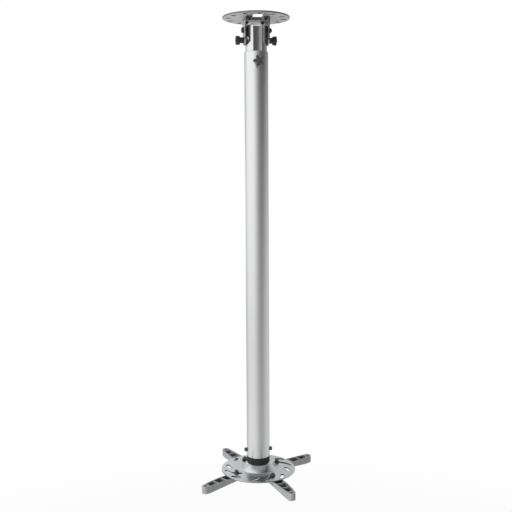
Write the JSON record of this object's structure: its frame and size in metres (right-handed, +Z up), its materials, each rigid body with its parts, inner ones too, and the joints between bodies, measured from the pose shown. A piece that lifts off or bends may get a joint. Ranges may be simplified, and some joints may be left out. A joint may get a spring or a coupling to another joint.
{
  "type": "projector ceiling mount",
  "caption": "Telescopic projector ceiling mount with a round slotted ceiling plate, tilting bracket, round pole with cable channel, and ball-clamped slotted disc with swinging arms.",
  "frame": {"origin": "centre of the ceiling plate's top face, which bears on the ceiling", "axes": "+Z up along the pole, +X along the tilt pivot, -Y towards the cable channel and knob"},
  "size_m": [0.2598, 0.2802, 0.9853],
  "materials": {
    "white_paint": "satin",
    "tube_metal": "polished",
    "disc_metal": "satin",
    "arm_paint": "matte",
    "black_plastic": "matte",
    "bush_plastic": "matte",
    "cast_metal": "cast",
    "steel": "zinc plated"
  },
  "bodies": {
    "ceiling": {"ceiling_plate": "white_paint", "tilt_bracket": "white_paint", "bracket_screws": "steel", "bracket_nuts": "steel", "pivot_bolt": "steel", "pivot_washers": "steel", "pivot_nut": "steel"},
    "inner_pole": {"inner_tube": "tube_metal", "pivot_sleeve": "steel", "tilt_bar": "cast_metal", "tilt_washers": "steel", "guide_bush": "bush_plastic"},
    "left_tilt_knob": {"tilt_knob_left": "black_plastic", "tilt_stud_left": "steel"},
    "right_tilt_knob": {"tilt_knob_right": "black_plastic", "tilt_stud_right": "steel"},
    "outer_pole": {"outer_tube": "tube_metal", "guide_liner": "bush_plastic", "height_key": "cast_metal", "end_plug": "cast_metal", "tube_screws": "steel", "stem_bolt": "steel", "jam_nut": "steel", "clamp_cup": "cast_metal", "stem_nut": "steel"},
    "front_knob": {"height_knob": "black_plastic", "height_stud": "steel"},
    "ring": {"lock_ring": "black_plastic"},
    "swivel_washer": {"upper_friction_washer": "black_plastic"},
    "ball_washer": {"lower_friction_washer": "black_plastic"},
    "adapter": {"adapter_disc": "disc_metal"},
    "back_right_slider": {"arm_bolt_back_right": "steel", "arm_washer_back_right": "steel", "arm_nut_back_right": "steel"},
    "back_right_arm": {"arm_back_right": "arm_paint"},
    "back_left_slider": {"arm_bolt_back_left": "steel", "arm_washer_back_left": "steel", "arm_nut_back_left": "steel"},
    "back_left_arm": {"arm_back_left": "arm_paint"},
    "front_left_slider": {"arm_bolt_front_left": "steel", "arm_washer_front_left": "steel", "arm_nut_front_left": "steel"},
    "front_left_arm": {"arm_front_left": "arm_paint"},
    "front_right_slider": {"arm_bolt_front_right": "steel", "arm_washer_front_right": "steel", "arm_nut_front_right": "steel"},
    "front_right_arm": {"arm_front_right": "arm_paint"}
  },
  "joints": [
    {"name": "pole_tilt", "type": "hinge", "parent": "ceiling", "child": "inner_pole", "pos_m": [0, 0, -0.0265], "axis": [1, 0, 0], "range_deg": [-30, 30]},
    {"name": "left_tilt_knob_turn", "type": "hinge", "parent": "inner_pole", "child": "left_tilt_knob", "pos_m": [0, 0, -0.047], "axis": [-1, 0, 0], "continuous": true},
    {"name": "right_tilt_knob_turn", "type": "hinge", "parent": "inner_pole", "child": "right_tilt_knob", "pos_m": [0, 0, -0.047], "axis": [1, 0, 0], "continuous": true},
    {"name": "height_slide", "type": "slide", "parent": "inner_pole", "child": "outer_pole", "axis": [0, 0, -1], "range_m": [0, 0.6]},
    {"name": "height_knob_turn", "type": "hinge", "parent": "outer_pole", "child": "front_knob", "pos_m": [0, 0, -0.093], "axis": [0, -1, 0], "continuous": true},
    {"name": "lock_ring_turn", "type": "hinge", "parent": "outer_pole", "child": "ring", "pos_m": [0, 0, -0.944], "axis": [0, 0, 1], "continuous": true},
    {"name": "swivel", "type": "hinge", "parent": "outer_pole", "child": "swivel_washer", "pos_m": [0, 0, -0.99098], "axis": [0, 0, 1], "continuous": true},
    {"name": "ball_tilt", "type": "hinge", "parent": "swivel_washer", "child": "ball_washer", "pos_m": [0, 0, -0.99098], "axis": [1, 0, 0], "range_deg": [-10, 10]},
    {"name": "ball_roll", "type": "hinge", "parent": "ball_washer", "child": "adapter", "pos_m": [0, 0, -0.99098], "axis": [0, 1, 0], "range_deg": [-10, 10]},
    {"name": "back_right_slide", "type": "hinge", "parent": "adapter", "child": "back_right_slider", "pos_m": [0.03664, -0.01478, -0.96698], "axis": [0, 0, 1], "range_deg": [-45.28, 3.72]},
    {"name": "back_right_swing", "type": "hinge", "parent": "back_right_slider", "child": "back_right_arm", "pos_m": [0.04514, 0.02584, -0.96698], "axis": [0, 0, 1], "range_deg": [-30, 30]},
    {"name": "back_left_slide", "type": "hinge", "parent": "adapter", "child": "back_left_slider", "pos_m": [0.01478, 0.03664, -0.96698], "axis": [0, 0, 1], "range_deg": [-36.75, 12.25]},
    {"name": "back_left_swing", "type": "hinge", "parent": "back_left_slider", "child": "back_left_arm", "pos_m": [-0.02413, 0.05106, -0.96698], "axis": [0, 0, 1], "range_deg": [-30, 30]},
    {"name": "front_left_slide", "type": "hinge", "parent": "adapter", "child": "front_left_slider", "pos_m": [-0.03664, 0.01478, -0.96698], "axis": [0, 0, 1], "range_deg": [-36.75, 12.25]},
    {"name": "front_left_swing", "type": "hinge", "parent": "front_left_slider", "child": "front_left_arm", "pos_m": [-0.05106, -0.02413, -0.96698], "axis": [0, 0, 1], "range_deg": [-30, 30]},
    {"name": "front_right_slide", "type": "hinge", "parent": "adapter", "child": "front_right_slider", "pos_m": [-0.01478, -0.03664, -0.96698], "axis": [0, 0, 1], "range_deg": [-36.75, 12.25]},
    {"name": "front_right_swing", "type": "hinge", "parent": "front_right_slider", "child": "front_right_arm", "pos_m": [0.02413, -0.05106, -0.96698], "axis": [0, 0, 1], "range_deg": [-30, 30]}
  ]
}
